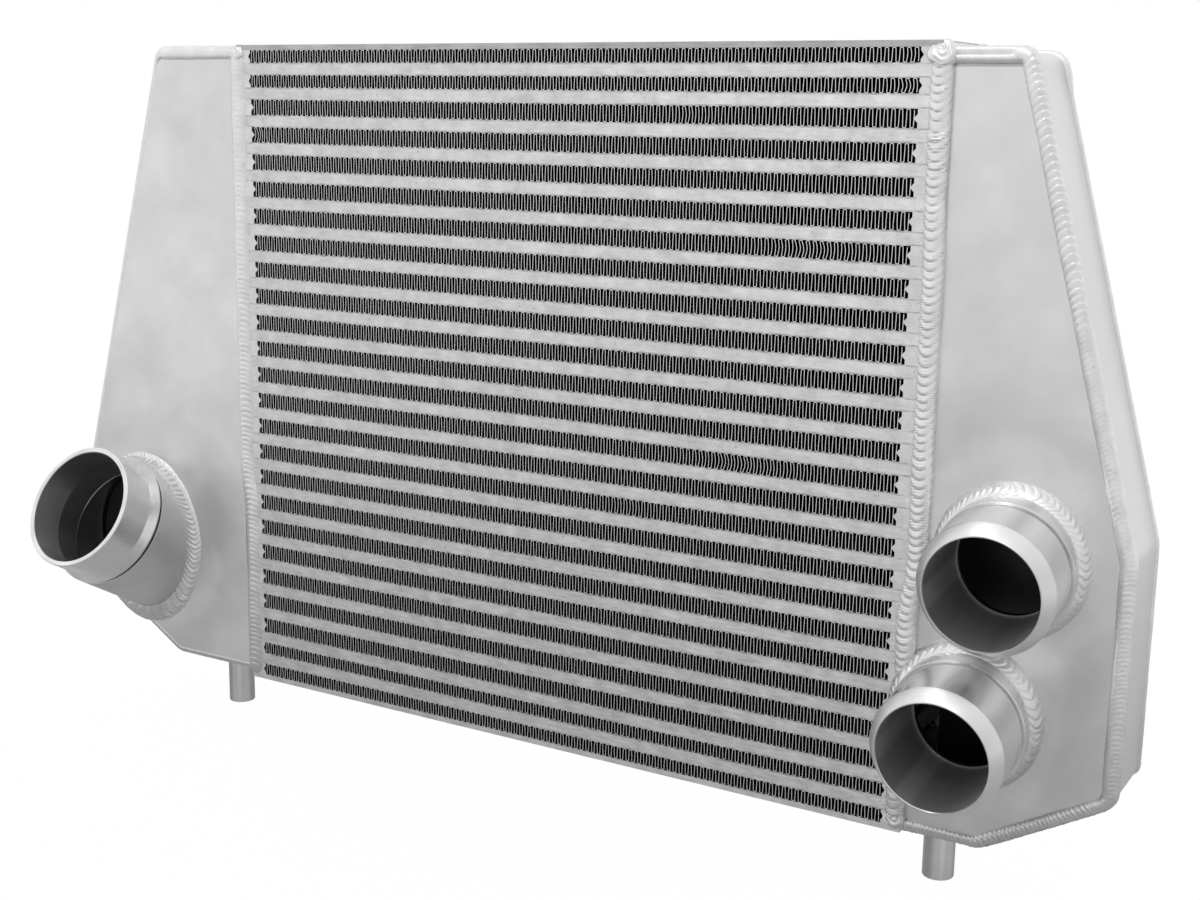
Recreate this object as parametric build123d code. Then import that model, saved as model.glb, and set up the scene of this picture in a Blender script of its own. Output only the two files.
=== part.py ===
from build123d import *
import math
import os

# Bar-and-plate intercooler with a welded end tank on each side, in millimetres.
# +X runs along the core from the left tank to the right one, +Y from the front face
# (the one with the spigots) to the back, and +Z up. The origin lies on the left
# locating pin's axis where the pin leaves the tank floor, halfway through the core.

# Core
fin_width = 400.0  # finned width between the end bars
end_bar_width = 10.0
core_depth = 57.0
tall_row_height = 8.8
short_row_height = 7.0
row_count = 25
short_rows_each_end = 2
charge_bar_height = 5.07
charge_bar_depth = 6.0
parting_sheet = 0.8
side_plate = 3.0
bar_tooth = 2.0  # ridge on the end bars of the tall rows
bar_notch = 1.4  # groove in the end bars of the short rows
bar_ridge_height = 4.0
fin_pitch = 25.0  # one full fold of the ambient fins
fin_sheet = 0.6  # measured straight up through the folded sheet
fin_end_gap = 0.5  # between a fin strip and the tip of the end bar's ridge
charge_fin_pitch = 11.0
charge_fin_end_gap = 2.0

# Where the core stands against the left tank
pin_to_core = 36.5
core_drop = 3.6  # the lower side plate hangs this far below the left tank floor

# Tanks: sheet, recess behind the core faces, and outline measured from the core's end
tank_sheet = 3.0
tank_recess = 3.0
left_top_gap = 2.5  # from the core's top down to the tank's
left_top_reach = 66.5
left_reach = 137.5
left_shoulder_drop = 256.5  # from the tank's top down to the outer wall's upper bend
left_knee_height = 44.9  # from the tank floor up to the outer wall's lower bend
left_floor_reach = 65.0
right_top_gap = 5.0
right_floor_drop = 2.1
right_top_reach = 39.8
right_reach = 100.0
right_shoulder_drop = 223.0
right_knee_height = 35.3
right_floor_reach = 37.7
left_top_bend = 8.0
right_top_bend = 12.0
shoulder_bend = 20.0
knee_bend = 10.0
floor_bend = 12.0

# Right spigots, for 63.5 mm hose
spigot_body_radius = 31.75
spigot_bore_radius = 26.4
spigot_lip = 0.9
spigot_taper_length = 7.3
spigot_collar_radius = 33.0
spigot_collar_length = 14.5
spigot_groove_width = 1.5
spigot_groove_radius = 31.0
spigot_drop_angle = 5.1
spigot_splay_angle = 1.4
upper_spigot_length = 48.2
upper_spigot_offset = 45.5  # from the core's end
upper_spigot_height = 142.8  # from the tank floor
lower_spigot_length = 51.7
lower_spigot_offset = 28.5
lower_spigot_height = 64.6
plate_hole_step = 0.8  # the plate's hole is this much smaller than the bore

# Left port, for 76 mm hose: a welded neck that carries a turned ferrule
neck_radius = 41.0
neck_wall = 3.0
neck_length = 31.0
ferrule_nose_radius = 38.1
ferrule_bore_radius = 35.0
ferrule_shoulder = 2.0
ferrule_taper = 4.9
ferrule_length = 27.8
joint_chamfer = 1.0
left_port_rise_angle = 29.9
left_port_splay_angle = -0.5
left_port_offset = 94.0
left_port_height = 71.6
left_hole_radius = 36.0

# Locating pins
pin_radius = 8.0
pin_drop = 34.1  # both tips below the left tank's floor
pin_chamfer = 0.8
right_pin_offset = 11.4  # from the core's end
pin_seat_gap = 5.0  # the seam weld is dressed flush this far round each pin

# Weld beads: radius of each run and how deep its centre sits in the joint
edge_bead_radius = 3.8
edge_bead_depth = 1.6
back_bead_radius = 3.0
right_seam_radius = 4.6
left_seam_radius = 5.6
seam_bead_depth = 2.5
seam_bead_offset = 0.3  # from the core's end towards the tank
seam_bead_bend = 6.0
right_crater_radius = 6.6
left_crater_radius = 6.4
spigot_bead_radius = 4.2
port_bead_radius = 4.6
port_bead_depth = 1.2

core_width = fin_width + 2 * end_bar_width
core_left = pin_to_core
core_right = core_left + core_width
core_front = -core_depth / 2
core_back = core_depth / 2
tank_front = core_front + tank_recess
tank_back = core_back - tank_recess
core_bottom = -core_drop


def save(node, shape):
    os.makedirs("parts", exist_ok=True)
    export_step(shape, f"parts/{node}.step")


def box_between(low, high):
    size = [b - a for a, b in zip(low, high)]
    centre = [(a + b) / 2 for a, b in zip(low, high)]
    return Pos(*centre) * Box(*size)


def prism(face, low_y, high_y):
    return extrude(Pos(0, low_y, 0) * face, amount=high_y - low_y, dir=(0, 1, 0))


def row_height(row):
    short = row < short_rows_each_end or row >= row_count - short_rows_each_end
    return short_row_height if short else tall_row_height


def row_floors():
    floors = []
    floor = core_bottom + side_plate
    for row in range(row_count):
        floors.append(floor)
        floor += row_height(row) + charge_bar_height + 2 * parting_sheet
    return floors


floors = row_floors()
core_top = floors[-1] + row_height(row_count - 1) + side_plate
channels = [floors[row] + row_height(row) for row in range(row_count - 1)]


# Core pieces

def side_plates():
    low = box_between((core_left, core_front, core_bottom), (core_right, core_back, core_bottom + side_plate))
    high = box_between((core_left, core_front, core_top - side_plate), (core_right, core_back, core_top))
    return low, high


def parting_sheets():
    sheets = []
    for channel in channels:
        for low in (channel, channel + parting_sheet + charge_bar_height):
            sheets.append(box_between((core_left, core_front, low), (core_right, core_back, low + parting_sheet)))
    return Compound(children=sheets)


def charge_bars(low_y):
    bars = []
    for channel in channels:
        low = channel + parting_sheet
        bars.append(box_between(
            (core_left, low_y, low), (core_right, low_y + charge_bar_depth, low + charge_bar_height)))
    return Compound(children=bars)


def end_bar(row, core_end, inward):
    # inward is +1 at the left end and -1 at the right end.
    low, height = floors[row], row_height(row)
    tip = bar_tooth if height == tall_row_height else -bar_notch
    middle = low + height / 2
    inner = core_end + inward * end_bar_width
    outline = Polyline(
        (core_end, low), (inner, low), (inner, middle - bar_ridge_height / 2),
        (inner + inward * tip, middle), (inner, middle + bar_ridge_height / 2),
        (inner, low + height), (core_end, low + height), close=True)
    return prism(make_face(Plane.XZ * outline), core_front, core_back)


def end_bars(core_end, inward):
    return Compound(children=[end_bar(row, core_end, inward) for row in range(row_count)])


def folded_outline(start, length, low, height, pitch):
    # A zigzag sheet: the lower edge out and the upper edge back.
    count = 2 * max(1, round(length / pitch))
    lower = []
    for i in range(count + 1):
        rise = (height - fin_sheet) * (i % 2)
        lower.append((start + length * i / count, low + rise))
    upper = [(across, up + fin_sheet) for across, up in reversed(lower)]
    return Polyline(*lower, *upper, close=True)


def ambient_fins(row):
    start = core_left + end_bar_width + bar_tooth + fin_end_gap
    length = fin_width - 2 * (bar_tooth + fin_end_gap)
    outline = folded_outline(start, length, floors[row], row_height(row), fin_pitch)
    return prism(make_face(Plane.XZ * outline), core_front, core_back)


def charge_fins():
    strips = []
    start = core_front + charge_bar_depth
    width = core_depth - 2 * charge_bar_depth
    length = core_width - 2 * charge_fin_end_gap
    for channel in channels:
        outline = folded_outline(start, width, channel + parting_sheet, charge_bar_height, charge_fin_pitch)
        face = Pos(core_left + charge_fin_end_gap, 0, 0) * make_face(Plane.YZ * outline)
        strips.append(extrude(face, amount=length))
    return Compound(children=strips)


# Tanks. A tank is a plain description, so that both sides use the same code.

left_tank = {
    "end": core_left, "out": -1, "floor": 0.0, "top": core_top - left_top_gap, "top_bend": left_top_bend,
    "top_reach": left_top_reach, "reach": left_reach, "shoulder_drop": left_shoulder_drop,
    "knee_height": left_knee_height, "floor_reach": left_floor_reach}
right_tank = {
    "end": core_right, "out": 1, "floor": -right_floor_drop, "top": core_top - right_top_gap,
    "top_bend": right_top_bend,
    "top_reach": right_top_reach, "reach": right_reach, "shoulder_drop": right_shoulder_drop,
    "knee_height": right_knee_height, "floor_reach": right_floor_reach}


def tank_corners(tank):
    out, end = tank["out"], tank["end"]
    return [
        (end, tank["top"]),
        (end + out * tank["top_reach"], tank["top"]),
        (end + out * tank["reach"], tank["top"] - tank["shoulder_drop"]),
        (end + out * tank["reach"], tank["floor"] + tank["knee_height"]),
        (end + out * tank["floor_reach"], tank["floor"]),
        (end, tank["floor"])]


def tank_face(tank, inset):
    # Every side moves in by the inset except the open one against the core.
    corners = tank_corners(tank)
    far = tank["end"] - tank["out"] * inset
    corners[0] = (far, corners[0][1])
    corners[-1] = (far, corners[-1][1])
    bends = [tank["top_bend"], shoulder_bend, knee_bend, floor_bend]
    path = FilletPolyline(*corners, radius=bends)
    back = Line(corners[-1], corners[0])
    face = make_face(Plane.XZ * (path + back))
    return offset(face, amount=-inset) if inset else face


def tank_envelope(tank):
    return prism(tank_face(tank, 0), tank_front, tank_back)


def tank_wall(tank):
    cavity = prism(tank_face(tank, tank_sheet), tank_front, tank_back)
    return tank_envelope(tank) - cavity


def tank_plate(tank, low_y):
    return prism(tank_face(tank, tank_sheet), low_y, low_y + tank_sheet)


def core_block():
    return box_between((core_left, core_front, core_bottom), (core_right, core_back, core_top))


# Ports

def port_place(tank, along, height, rise, splay):
    rise, splay = math.radians(rise), math.radians(splay)
    direction = (
        math.sin(splay) * math.cos(rise), -math.cos(splay) * math.cos(rise), math.sin(rise))
    root = (tank["end"] + tank["out"] * along, tank_front, tank["floor"] + height)
    return Plane(origin=root, x_dir=(1, 0, 0), z_dir=direction).location


def turned(points):
    return revolve(make_face(Plane.XZ * Polyline(*points, close=True)), axis=Axis.Z)


root_depth = 40.0  # how far a port is drawn into the tank before it is trimmed


def spigot(length):
    groove_end = spigot_collar_length + spigot_groove_width
    taper_start = length - spigot_taper_length
    return turned([
        (spigot_bore_radius, -root_depth), (spigot_collar_radius, -root_depth),
        (spigot_collar_radius, spigot_collar_length), (spigot_groove_radius, spigot_collar_length),
        (spigot_groove_radius, groove_end), (spigot_body_radius, groove_end),
        (spigot_body_radius, taper_start), (spigot_bore_radius + spigot_lip, length),
        (spigot_bore_radius, length)])


def neck():
    return turned([
        (neck_radius - neck_wall, -root_depth), (neck_radius, -root_depth),
        (neck_radius, neck_length - joint_chamfer), (neck_radius - joint_chamfer, neck_length),
        (neck_radius - neck_wall, neck_length)])


def ferrule():
    mouth = neck_length + ferrule_length
    shoulder = neck_length + ferrule_shoulder
    return turned([
        (ferrule_bore_radius, neck_length), (neck_radius - joint_chamfer, neck_length),
        (neck_radius, neck_length + joint_chamfer), (neck_radius, shoulder),
        (ferrule_nose_radius, shoulder + ferrule_taper), (ferrule_nose_radius, mouth),
        (ferrule_bore_radius, mouth)])


def drill(place, radius):
    return place * Cylinder(radius, 2 * root_depth)


# Weld beads

def bead_along(path, radius):
    start = Plane(origin=path @ 0, z_dir=path % 0)
    return sweep(start * Circle(radius), path=path)


def edge_bead(tank, radius, level):
    # The run follows the outline just inside the edge, from the core's end round to it again.
    outline = Pos(0, level, 0) * tank_face(tank, edge_bead_depth)
    run = Wire([edge for edge in outline.edges() if abs((edge @ 0.5).X - tank["end"]) > 0.01])
    return bead_along(run, radius) - tank_envelope(tank)


def seam_bead(tank, radius, crater_radius):
    across = core_depth - 2 * seam_bead_depth
    up = core_top - core_bottom - 2 * seam_bead_depth
    middle = (core_top + core_bottom) / 2
    ring = Plane.YZ * RectangleRounded(across, up, seam_bead_bend)
    run = (Pos(tank["end"] + tank["out"] * seam_bead_offset, 0, middle) * ring).face().outer_wire()
    return bead_along(run, radius) + crater(tank, crater_radius) - core_block() - tank_envelope(tank)


def before_plate(shape):
    # What stands in front of the tanks' front faces.
    return split(shape, bisect_by=Plane(origin=(0, tank_front, 0), z_dir=(0, -1, 0)), keep=Keep.TOP)


def port_bead(place, radius, bead_radius, rise):
    # The run follows the slanted cut of the port on the plate.
    root = place.position
    stretch = 1 / math.cos(math.radians(rise))
    run = Pos(root.X, tank_front + port_bead_depth, root.Z) * (
        Plane.XZ * Ellipse(radius, radius * stretch)).face().outer_wire()
    return before_plate(bead_along(run, bead_radius))


def crater(tank, radius):
    # The blob left where the seam's run ends, on the core's upper front corner.
    x = tank["end"] + tank["out"] * seam_bead_offset
    return Pos(x, core_front + seam_bead_depth, core_top - seam_bead_depth) * Sphere(radius)


def pin_seat(x, floor):
    # Clear room under the floor for the grommet that the pin stands in.
    return Pos(x, 0, floor - left_seam_radius) * Cylinder(pin_radius + pin_seat_gap, 2 * left_seam_radius)


def locating_pin(x, floor):
    length = floor + pin_drop
    pin = Pos(x, 0, floor - length / 2) * Cylinder(pin_radius, length)
    return chamfer(pin.edges().sort_by(Axis.Z)[0], pin_chamfer)


def build():
    low_plate, high_plate = side_plates()
    save("bottom_side_plate", low_plate)
    save("top_side_plate", high_plate)
    save("parting_sheets", parting_sheets())
    save("front_charge_bars", charge_bars(core_front))
    save("back_charge_bars", charge_bars(core_back - charge_bar_depth))
    save("left_end_bars", end_bars(core_left, 1))
    save("right_end_bars", end_bars(core_right, -1))
    save("charge_fins", charge_fins())
    for row in range(row_count):
        save(f"ambient_fins_{row + 1:02d}", ambient_fins(row))

    solid_core = core_block()
    upper_place = port_place(
        right_tank, upper_spigot_offset, upper_spigot_height, -spigot_drop_angle, spigot_splay_angle)
    lower_place = port_place(
        right_tank, lower_spigot_offset, lower_spigot_height, -spigot_drop_angle, spigot_splay_angle)
    left_place = port_place(
        left_tank, left_port_offset, left_port_height, left_port_rise_angle, left_port_splay_angle)

    hole = spigot_bore_radius - plate_hole_step
    right_plate = tank_plate(right_tank, tank_front) - drill(upper_place, hole) - drill(lower_place, hole)
    left_plate = tank_plate(left_tank, tank_front) - drill(left_place, left_hole_radius)
    save("right_tank_wall", tank_wall(right_tank))
    save("right_tank_front_plate", right_plate)
    save("right_tank_back_plate", tank_plate(right_tank, tank_back - tank_sheet))
    save("left_tank_wall", tank_wall(left_tank))
    save("left_tank_front_plate", left_plate)
    save("left_tank_back_plate", tank_plate(left_tank, tank_back - tank_sheet))

    upper = before_plate(upper_place * spigot(upper_spigot_length))
    lower = before_plate(lower_place * spigot(lower_spigot_length)) - solid_core
    left_neck = before_plate(left_place * neck())
    save("upper_spigot", upper)
    save("lower_spigot", lower)
    save("left_port_neck", left_neck)
    save("left_port_ferrule", left_place * ferrule())

    upper_bead = port_bead(upper_place, spigot_collar_radius, spigot_bead_radius, spigot_drop_angle)
    lower_bead = port_bead(lower_place, spigot_collar_radius, spigot_bead_radius, spigot_drop_angle)
    left_bead = port_bead(left_place, neck_radius, port_bead_radius, left_port_rise_angle)
    upper_solid = upper_place * Cylinder(spigot_collar_radius, 2 * root_depth)
    lower_solid = lower_place * Cylinder(spigot_collar_radius, 2 * root_depth)
    left_solid = left_place * Cylinder(neck_radius, 2 * root_depth)
    upper_weld = upper_bead - upper_solid
    lower_weld = lower_bead - lower_solid - solid_core
    left_weld = left_bead - left_solid
    save("upper_spigot_weld", upper_weld)
    save("lower_spigot_weld", lower_weld)
    save("left_port_weld", left_weld)

    right_pin_x = core_right + right_pin_offset
    left_pin = locating_pin(0, left_tank["floor"])
    right_pin = locating_pin(right_pin_x, right_tank["floor"])
    save("left_pin", left_pin)
    save("right_pin", right_pin)
    right_seam = seam_bead(right_tank, right_seam_radius, right_crater_radius) - lower_solid - lower_bead
    right_seam = right_seam - pin_seat(right_pin_x, right_tank["floor"])
    left_seam = seam_bead(left_tank, left_seam_radius, left_crater_radius) - pin_seat(0, left_tank["floor"])
    save("right_seam_weld", right_seam)
    save("left_seam_weld", left_seam)
    front_line = tank_front + edge_bead_depth
    back_line = tank_back - edge_bead_depth
    for side, tank, seam, weld in (
            ("right", right_tank, right_seam, lower_weld), ("left", left_tank, left_seam, left_weld)):
        front_run = edge_bead(tank, edge_bead_radius, front_line) - seam - weld
        if tank is left_tank:
            front_run = front_run - left_solid
        save(f"{side}_front_weld", front_run)
        save(f"{side}_back_weld", edge_bead(tank, back_bead_radius, back_line) - seam)


build()
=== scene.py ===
import math
import bpy
import numpy as np
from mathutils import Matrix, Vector


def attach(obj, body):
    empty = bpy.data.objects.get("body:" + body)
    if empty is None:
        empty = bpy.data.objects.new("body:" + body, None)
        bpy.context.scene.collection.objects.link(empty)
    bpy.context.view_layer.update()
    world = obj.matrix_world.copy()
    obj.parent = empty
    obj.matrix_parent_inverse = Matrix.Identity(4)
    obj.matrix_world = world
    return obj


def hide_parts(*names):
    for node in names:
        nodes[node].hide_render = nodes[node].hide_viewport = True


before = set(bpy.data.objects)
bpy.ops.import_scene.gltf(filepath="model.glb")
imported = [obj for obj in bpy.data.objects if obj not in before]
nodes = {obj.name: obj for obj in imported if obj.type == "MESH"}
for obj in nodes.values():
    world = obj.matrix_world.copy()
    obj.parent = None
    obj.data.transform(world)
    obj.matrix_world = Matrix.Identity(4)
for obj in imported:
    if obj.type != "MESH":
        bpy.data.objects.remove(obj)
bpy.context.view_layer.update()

# Bar-and-plate intercooler: brazed core, two welded end tanks, turned hose spigots, all bare aluminium.
# Lengths are millimetres until a mesh is made, and metres from there on.

scene = bpy.context.scene
mm = 0.001

# Core: rows of fins between two end bars, stacked between two side plates.
core = {"left": 36.5, "right": 456.5, "endBar": 10.0, "front": -28.5, "back": 28.5, "floor": -3.6, "sidePlate": 3.0,
        "rows": 25, "tallRow": 8.8, "shortRow": 7.0, "shortAtEachEnd": 2, "channel": 6.67}


def rowSpan(row):  # where a row starts above the tank floor, and how tall it is
    shortRows = core["shortAtEachEnd"]
    heights = [core["shortRow"] if k < shortRows or k >= core["rows"] - shortRows else core["tallRow"]
               for k in range(row + 1)]
    return core["floor"] + core["sidePlate"] + sum(heights[:-1]) + core["channel"] * row, heights[-1]


coreTop = sum(rowSpan(core["rows"] - 1)) + core["sidePlate"]

# Tanks: corners from the core's top round to its floor, and the radius of each bend in the wall and the welds.
plateFront, plateBack = -25.5, 25.5
tanks = {
    "left": {"corners": [(core["left"], coreTop - 2.5), (-30.0, coreTop - 2.5), (-101.0, coreTop - 259.0),
                         (-101.0, 44.9), (-28.5, 0.0), (core["left"], 0.0)],
             "wallBends": [8, 20, 10, 12], "frontBends": [8, 20, 10, 12], "backBends": [8, 20, 10, 12],
             "bottomLean": 0.0},
    "right": {"corners": [(core["right"], coreTop - 5.0), (496.3, coreTop - 5.0), (556.5, coreTop - 228.0),
                          (556.5, 33.2), (494.2, -2.1), (core["right"], -2.1)],
              "wallBends": [8, 20, 4, 12], "frontBends": [6, 20, 10, 12], "backBends": [8, 20, 5, 12],
              "bottomLean": 0.5}}  # how far the weld under the tank leans round its edge

# Ports: where each axis meets its tank plate, and its rise and splay in degrees.
ports = {"upper": {"root": (502.0, plateFront, 140.7), "rise": -5.1, "splay": 1.4},
         "lower": {"root": (485.0, plateFront, 62.5), "rise": -5.1, "splay": 1.4},
         "left": {"root": (-57.5, plateFront, 71.6), "rise": 29.9, "splay": -0.5}}


def portAxis(side):
    rise, splay = math.radians(ports[side]["rise"]), math.radians(ports[side]["splay"])
    return np.array((math.sin(splay) * math.cos(rise), -math.cos(splay) * math.cos(rise), math.sin(rise)))


rightAxis, leftAxis = portAxis("upper"), portAxis("left")


def addNode(tree, kind, **values):
    node = tree.nodes.new(kind)
    for key, value in values.items():
        setattr(node, key, value)
    return node


def plug(tree, source, target):
    tree.links.new(source, target)


def feed(tree, value, socket):
    if isinstance(value, (int, float, tuple)):
        socket.default_value = value
    else:
        plug(tree, value, socket)


def calc(tree, operation, *values):
    node = addNode(tree, "ShaderNodeMath", operation=operation)
    for socket, value in zip(node.inputs, values):
        feed(tree, value, socket)
    return node.outputs[0]


def vectorCalc(tree, operation, *values, result="Vector"):
    node = addNode(tree, "ShaderNodeVectorMath", operation=operation)
    for socket, value in zip(node.inputs, values):
        feed(tree, value, socket)
    return node.outputs[result]


def remap(tree, value, low, high, toLow=0.0, toHigh=1.0, smooth=False):
    node = addNode(tree, "ShaderNodeMapRange", clamp=True)
    if smooth:
        node.interpolation_type = "SMOOTHSTEP"
    plug(tree, value, node.inputs["Value"])
    for name, number in (("From Min", low), ("From Max", high), ("To Min", toLow), ("To Max", toHigh)):
        node.inputs[name].default_value = number
    return node.outputs["Result"]


def noise(tree, place, scale, detail=3.0, rough=0.5):
    node = addNode(tree, "ShaderNodeTexNoise")
    feed(tree, scale, node.inputs["Scale"])
    node.inputs["Detail"].default_value = detail
    node.inputs["Roughness"].default_value = rough
    plug(tree, place, node.inputs["Vector"])
    return node.outputs["Fac"]


def objectPlace(tree):
    return addNode(tree, "ShaderNodeTexCoord").outputs["Object"]


# Effect shared by every metal: fine grain drawn out one way, broad clouding and sparse specks.
def makeGrainGroup():
    group = bpy.data.node_groups.new("metalGrain", "ShaderNodeTree")
    group.interface.new_socket("Stretch", in_out="INPUT", socket_type="NodeSocketVector")
    for label in ("Grain Scale", "Cloud Scale", "Speck Scale"):
        group.interface.new_socket(label, in_out="INPUT", socket_type="NodeSocketFloat")
    for label in ("Grain", "Cloud", "Specks"):
        group.interface.new_socket(label, in_out="OUTPUT", socket_type="NodeSocketFloat")
    given, out = addNode(group, "NodeGroupInput"), addNode(group, "NodeGroupOutput")
    place = objectPlace(group)
    drawn = vectorCalc(group, "MULTIPLY", place, given.outputs["Stretch"])
    plug(group, noise(group, drawn, given.outputs["Grain Scale"], 4.0, 0.6), out.inputs["Grain"])
    plug(group, noise(group, place, given.outputs["Cloud Scale"], 3.0, 0.55), out.inputs["Cloud"])
    specks = noise(group, place, given.outputs["Speck Scale"], 2.0, 0.7)
    plug(group, remap(group, specks, 0.64, 0.72), out.inputs["Specks"])
    return group


# Effect shared by the turned pieces: tool lines round the axis and soft bands along it.
def makeTurnedGroup():
    group = bpy.data.node_groups.new("turnedLines", "ShaderNodeTree")
    group.interface.new_socket("Axis", in_out="INPUT", socket_type="NodeSocketVector")
    group.interface.new_socket("Line Scale", in_out="INPUT", socket_type="NodeSocketFloat")
    group.interface.new_socket("Band Scale", in_out="INPUT", socket_type="NodeSocketFloat")
    for label in ("Lines", "Bands"):
        group.interface.new_socket(label, in_out="OUTPUT", socket_type="NodeSocketFloat")
    given, out = addNode(group, "NodeGroupInput"), addNode(group, "NodeGroupOutput")
    place = objectPlace(group)
    along = vectorCalc(group, "DOT_PRODUCT", place, given.outputs["Axis"], result="Value")
    lines = addNode(group, "ShaderNodeTexNoise", noise_dimensions="1D")
    plug(group, along, lines.inputs["W"])
    plug(group, given.outputs["Line Scale"], lines.inputs["Scale"])
    lines.inputs["Detail"].default_value = 3.0
    plug(group, lines.outputs["Fac"], out.inputs["Lines"])
    shift = addNode(group, "ShaderNodeVectorMath", operation="SCALE")
    plug(group, given.outputs["Axis"], shift.inputs[0])
    plug(group, calc(group, "MULTIPLY", along, 0.97), shift.inputs["Scale"])
    across = vectorCalc(group, "SUBTRACT", place, shift.outputs[0])
    plug(group, noise(group, across, given.outputs["Band Scale"], 2.0, 0.5), out.inputs["Bands"])
    return group


grainGroup, turnedGroup = makeGrainGroup(), makeTurnedGroup()


def unit(v):
    v = np.asarray(v, float)
    return v / np.linalg.norm(v)


def fromAxis(tree, axis):
    split = addNode(tree, "ShaderNodeSeparateXYZ")
    plug(tree, objectPlace(tree), split.inputs[0])
    return split.outputs[axis]


def blended(tree, amount, one, other):  # one where the amount is 1, the other where it is 0
    return calc(tree, "ADD", calc(tree, "MULTIPLY", one, amount),
                calc(tree, "MULTIPLY", other, calc(tree, "SUBTRACT", 1.0, amount)))


# Shades multiply a finish's colour from place to place; most are painted light and shade, and the plate's haze is heat
# tint. Their distances are metres.
# Between the fins the colour is painted dark behind the bright front edge as painted shade, darker on one side of the
# sheet.
# Depths are distances from the core's middle. Each side has where it is darkest, its shade there and at the mouth.
finGapPaintedShade = {"edge": (0.02815, 0.02834), "mouth": 0.0282, "upperSide": (0.0272, 0.001, 0.012),
           "underside": (0.0265, 0.01, 0.30)}


def gapPaintedShade(tree, side):
    darkest, low, high = finGapPaintedShade[side]
    depth = calc(tree, "ABSOLUTE", fromAxis(tree, "Y"))
    edge = remap(tree, depth, *finGapPaintedShade["edge"], 0, 1.0)
    return calc(tree, "ADD", remap(tree, depth, darkest, finGapPaintedShade["mouth"], low, high), edge)


def upperSidePaintedShade(tree):
    return gapPaintedShade(tree, "upperSide")


def undersidePaintedShade(tree):
    return gapPaintedShade(tree, "underside")


def weldPaintedShade(tree):  # painted shade, darker towards the bottom
    return remap(tree, fromAxis(tree, "Z"), 0.0, 0.10, 0.76, 1.0)


# Painted shade inside the tanks, at the port hole rims, along the seam weld toes and under the right tank's top weld;
# haze is heat tint.
plateTintAndShadeLevels = {
    "inside": 0.12, "haze": 0.10, "hazeFrom": {"upper": 0.044, "lower": 0.044, "left": 0.055},
    "holeRim": 0.2, "holeRadius": {"left": 0.0418, "upper": 0.0285, "lower": 0.0285},
    "toe": 0.76, "toePlaces": (0.0301, 0.4616), "topLine": 0.60, "topLineDrop": 0.0109}


def fromPort(tree, side):
    root = tuple(c * mm for c in ports[side]["root"])
    return vectorCalc(tree, "DISTANCE", objectPlace(tree), root, result="Value")


def hazeShade(tree):  # a faint ragged ring that the heat of the welding left round each port
    shade = 1.0
    ragged = remap(tree, noise(tree, objectPlace(tree), 22.0, 3.0, 0.5), 0.35, 0.65, -0.008, 0.008)
    for side, near in plateTintAndShadeLevels["hazeFrom"].items():
        away = calc(tree, "ADD", fromPort(tree, side), ragged)
        ring = calc(tree, "MULTIPLY", remap(tree, away, near, near + 0.012, 0, 1, True),
                    remap(tree, away, near + 0.016, near + 0.05, 1, 0, True))
        haze = calc(tree, "MULTIPLY", ring, plateTintAndShadeLevels["haze"])
        shade = calc(tree, "MULTIPLY", shade, calc(tree, "SUBTRACT", 1.0, haze))
    return shade


def toePaintedShadow(tree):  # painted shadow on the plate along the toe of each seam weld, more so towards the top
    shade = 1.0
    fade = remap(tree, fromAxis(tree, "Z"), 0.15, 0.36, 0.0013, 0.0)
    for toe in plateTintAndShadeLevels["toePlaces"]:
        near = calc(tree, "ABSOLUTE", calc(tree, "SUBTRACT", fromAxis(tree, "X"), toe))
        near = calc(tree, "ADD", near, fade)
        shade = calc(tree, "MULTIPLY", shade, remap(tree, near, 0.0002, 0.0015, plateTintAndShadeLevels["toe"], 1.0, True))
    return shade


def topLinePaintedShade(tree):  # painted shade: a dark line under the right tank's upper weld
    line = calc(tree, "SUBTRACT", fromAxis(tree, "Z"), coreTop * mm - plateTintAndShadeLevels["topLineDrop"])
    line = calc(tree, "MAXIMUM", calc(tree, "ABSOLUTE", line), remap(tree, fromAxis(tree, "X"), 0.455, 0.457, 1, 0))
    return remap(tree, line, 0.0003, 0.0012, plateTintAndShadeLevels["topLine"], 1.0, True)


def plateTintAndPaintedShade(tree):  # painted shade inside the tanks and at the rims of the port holes, times the heat tint and the painted shade along the welds
    shade = remap(tree, calc(tree, "ABSOLUTE", fromAxis(tree, "Y")), 0.0227, 0.0232, plateTintAndShadeLevels["inside"], 1.0)
    for side, edge in plateTintAndShadeLevels["holeRadius"].items():
        rim = remap(tree, fromPort(tree, side), edge, edge + 0.0006, plateTintAndShadeLevels["holeRim"], 1.0)
        shade = calc(tree, "MULTIPLY", shade, rim)
    for mark in (hazeShade, toePaintedShadow, topLinePaintedShade):
        shade = calc(tree, "MULTIPLY", shade, mark(tree))
    return shade


# Painted reflections: turned metal is streaked along its axis by the direction a surface faces; each streak is a
# facing direction, how wide it is and what it adds.
def paintedReflectionStreaks(tree, base, paintedStreaks):
    facing = addNode(tree, "ShaderNodeTexCoord").outputs["Normal"]
    shade = base
    for aim, narrow, gain in paintedStreaks:
        match = vectorCalc(tree, "DOT_PRODUCT", facing, tuple(unit(aim)), result="Value")
        shade = calc(tree, "ADD", shade, remap(tree, match, narrow, 1, 0, gain, True))
    return shade


# Painted highlights and painted darker bands round the spigot barrels.
def barrelPaintedReflections(tree):
    return paintedReflectionStreaks(tree, 0.84, [((0, 0, 1), 0.93, 0.14), ((0.62, 0, 0.78), 0.94, 0.16), ((-0.8, 0, 0.6), 0.90, -0.12),
                                 ((1, 0, 0.1), 0.90, 0.08), ((0.33, 0, 0.95), 0.96, -0.08)])


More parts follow.
